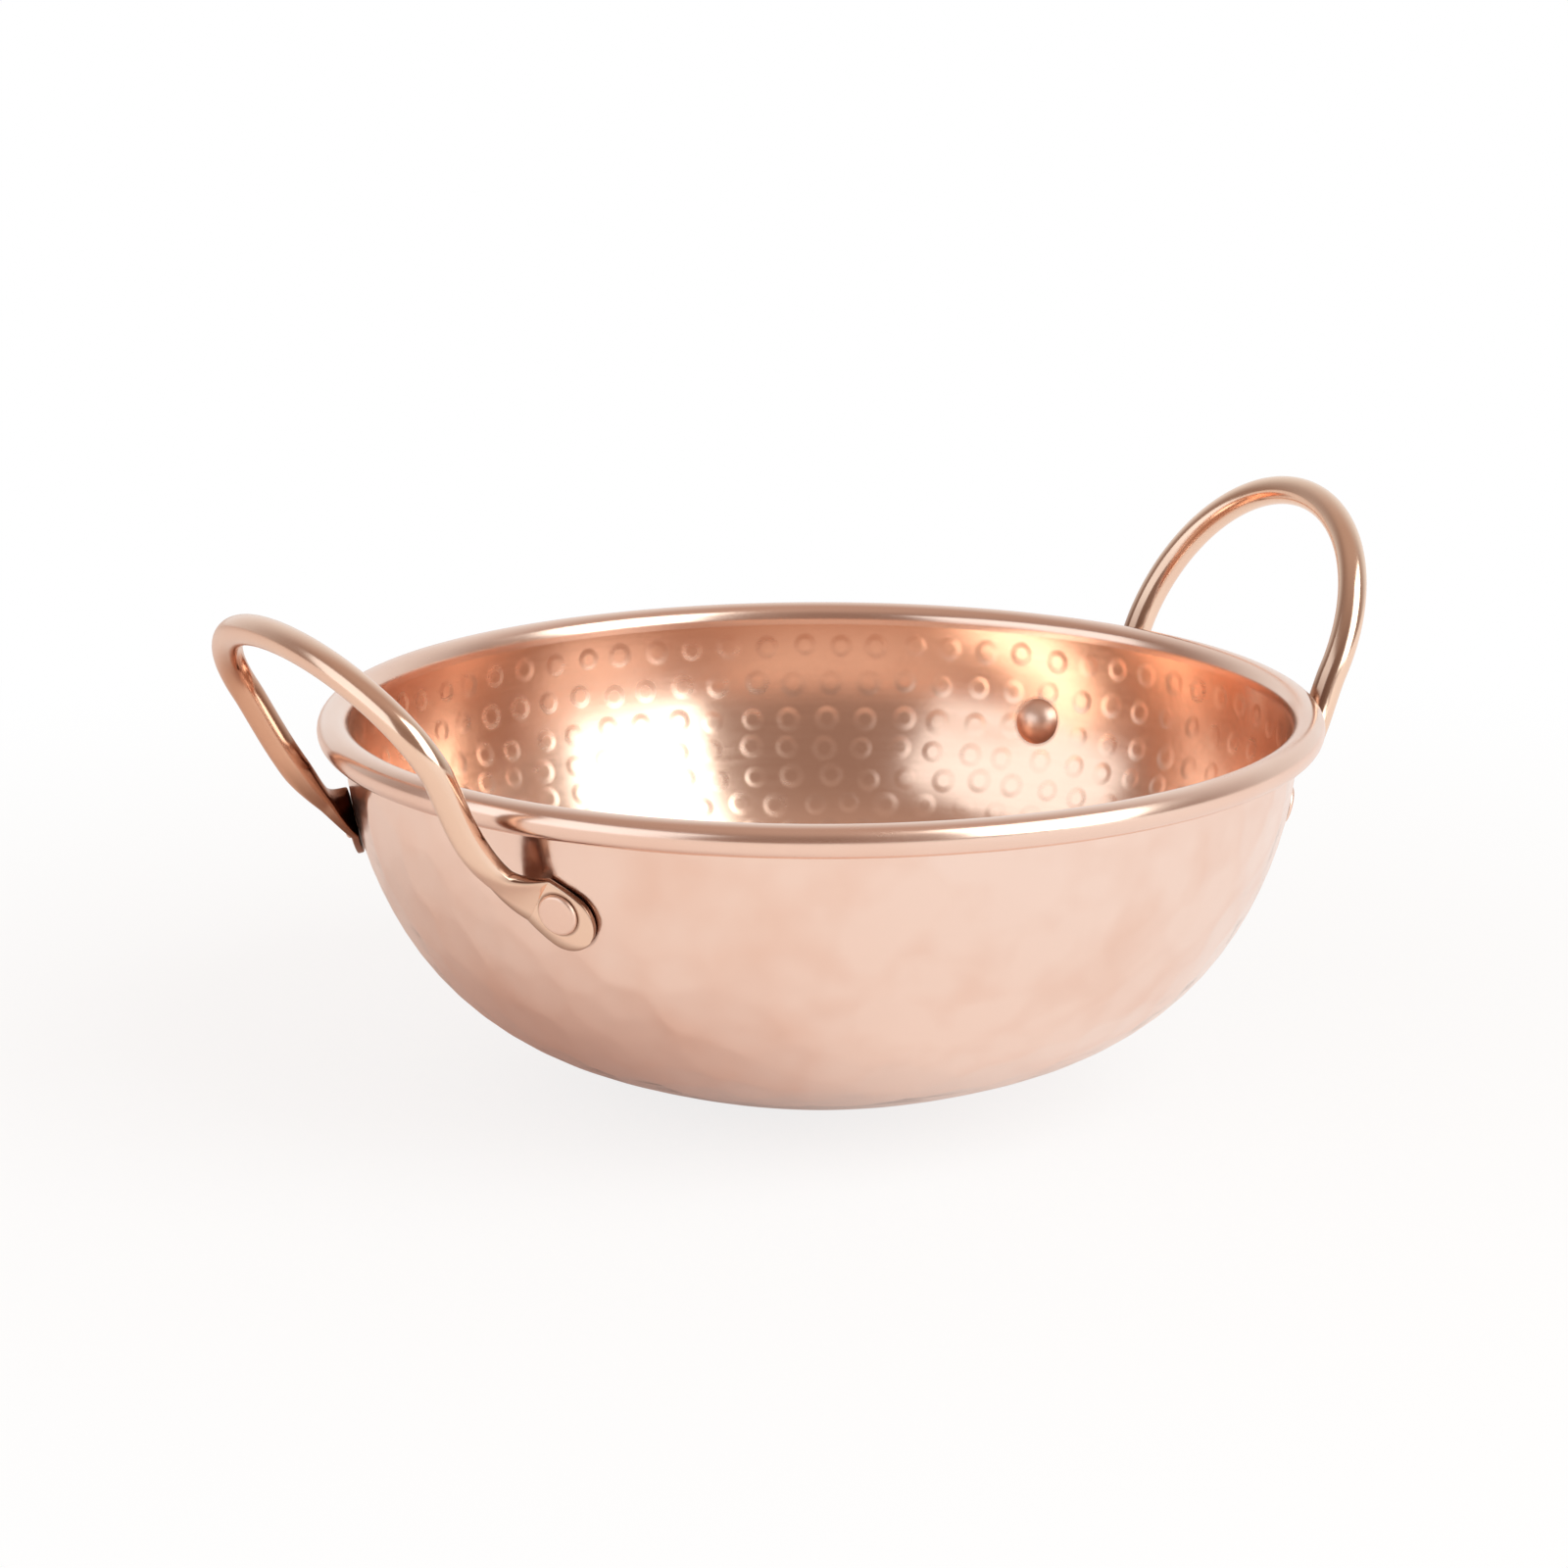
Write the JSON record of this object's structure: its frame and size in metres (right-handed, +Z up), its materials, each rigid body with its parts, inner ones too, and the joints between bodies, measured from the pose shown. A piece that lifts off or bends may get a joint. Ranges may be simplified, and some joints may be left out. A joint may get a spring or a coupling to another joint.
{
  "type": "hammered copper pot",
  "caption": "Round-bottomed hammered copper pot with a rolled rim and an upright loop handle of forged rod riveted to each side of its wall.",
  "frame": {"origin": "centre of the flat underside that the pot stands on", "axes": "+Z up through the middle of the bowl, +X from the middle of the bowl towards the right handle"},
  "size_m": [0.2441, 0.2, 0.1105],
  "materials": {
    "bowl_copper": "hand-hammered, satin-polished copper sheet",
    "wire_steel": "drawn steel wire, hidden in the rim",
    "handle_copper": "forged and polished copper rod",
    "rivet_copper": "copper rivet, polished heads"
  },
  "bodies": {
    "root": {"bowl": "bowl_copper", "rim_wire": "wire_steel", "handle_right": "handle_copper", "handle_left": "handle_copper", "rivet_right_back": "rivet_copper", "rivet_right_front": "rivet_copper", "rivet_left_front": "rivet_copper", "rivet_left_back": "rivet_copper"}
  },
  "joints": []
}
